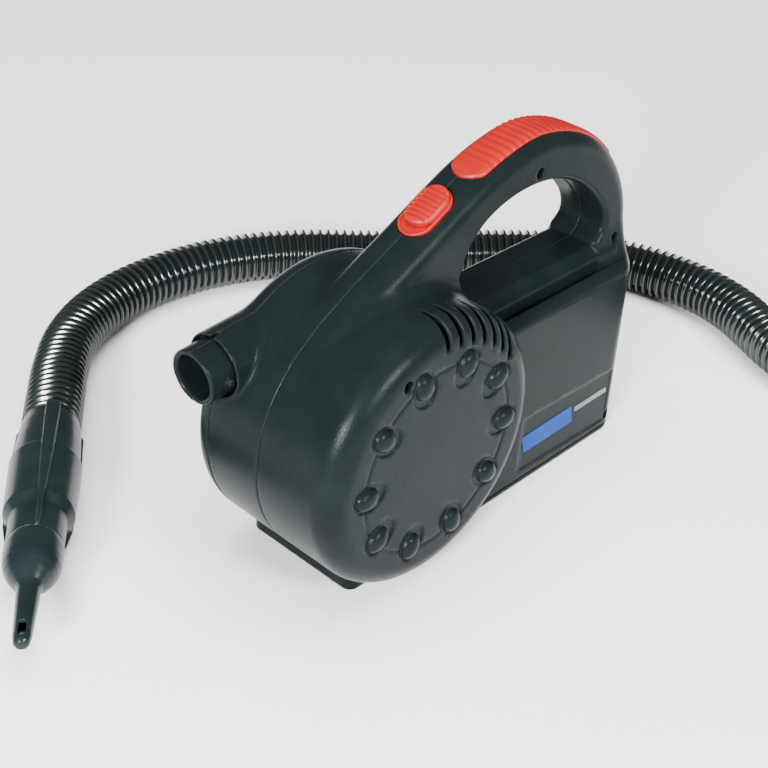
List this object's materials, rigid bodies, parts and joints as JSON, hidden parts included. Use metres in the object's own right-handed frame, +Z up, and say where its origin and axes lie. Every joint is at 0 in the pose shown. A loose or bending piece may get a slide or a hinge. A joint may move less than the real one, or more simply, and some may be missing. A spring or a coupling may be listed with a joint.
{
  "type": "electric air mattress pump",
  "caption": "Cordless centrifugal inflator with carrying handle, slide switch, tilted outlet, vented drum casing, corrugated hose, stepped nozzle and valve tip.",
  "frame": {"origin": "on the ground directly below the fan axis, on the parting plane of the carrying handle, at the underside of the base plate", "axes": "+Z up, +X from the fan drum towards the battery end (the outlet points to -X), -Y towards the round vented cover face"},
  "size_m": [0.71, 0.5657, 0.2158],
  "materials": {
    "casing": "satin moulded",
    "accent": "satin moulded",
    "nozzle_plastic": "semi-gloss moulded",
    "hose_vinyl": "glossy corrugated vinyl",
    "steel": "zinc plated",
    "ferrite": "sintered",
    "winding": "enamelled copper on laminations",
    "lead": "dull",
    "brass": "plain",
    "battery_plastic": "matt",
    "inner_plastic": "satin",
    "foam": "open-cell foam",
    "wire_red": "vinyl insulation",
    "wire_black": "vinyl insulation"
  },
  "bodies": {
    "pump_body": {"base_plate": "casing", "base_screw_1": "steel", "base_screw_2": "steel", "base_screw_3": "steel", "base_screw_4": "steel", "battery_case": "battery_plastic", "battery_cell_1": "lead", "battery_cell_2": "lead", "battery_cell_3": "lead", "battery_lid": "battery_plastic", "battery_pad": "foam", "charge_socket": "inner_plastic", "cover_screw_1": "steel", "cover_screw_2": "steel", "cover_screw_3": "steel", "cover_screw_4": "steel", "far_cover": "casing", "grip_insert": "accent", "hose": "hose_vinyl", "hose_cuff": "nozzle_plastic", "lead_battery_to_motor": "wire_black", "lead_battery_to_switch": "wire_red", "lead_switch_to_motor": "wire_black", "magnet_lower": "ferrite", "magnet_upper": "ferrite", "middle_shell": "casing", "motor_can": "steel", "motor_end_cap": "inner_plastic", "motor_mount": "inner_plastic", "motor_screw_1": "steel", "motor_screw_2": "steel", "near_shell": "casing", "shell_screw_1": "steel", "shell_screw_2": "steel", "shell_screw_3": "steel", "shell_screw_4": "steel", "slide_switch": "battery_plastic", "stepped_nozzle": "nozzle_plastic", "switch_bezel": "accent", "terminal_negative": "brass", "terminal_positive": "brass"},
    "rotor": {"motor_shaft": "steel", "armature": "winding", "impeller": "inner_plastic"},
    "slider": {"switch_slider": "accent"},
    "tip": {"tip_adapter": "nozzle_plastic"}
  },
  "joints": [
    {"name": "switch_slide", "type": "slide", "parent": "pump_body", "child": "slider", "axis": [-0.887, 0, -0.4617], "range_m": [0, 0.0052]},
    {"name": "fan_spin", "type": "hinge", "parent": "pump_body", "child": "rotor", "pos_m": [0, 0, 0.082], "axis": [0, 1, 0], "continuous": true},
    {"name": "tip_pull", "type": "slide", "parent": "pump_body", "child": "tip", "axis": [-0.6484, -0.7613, 0], "range_m": [0, 0.035]}
  ]
}
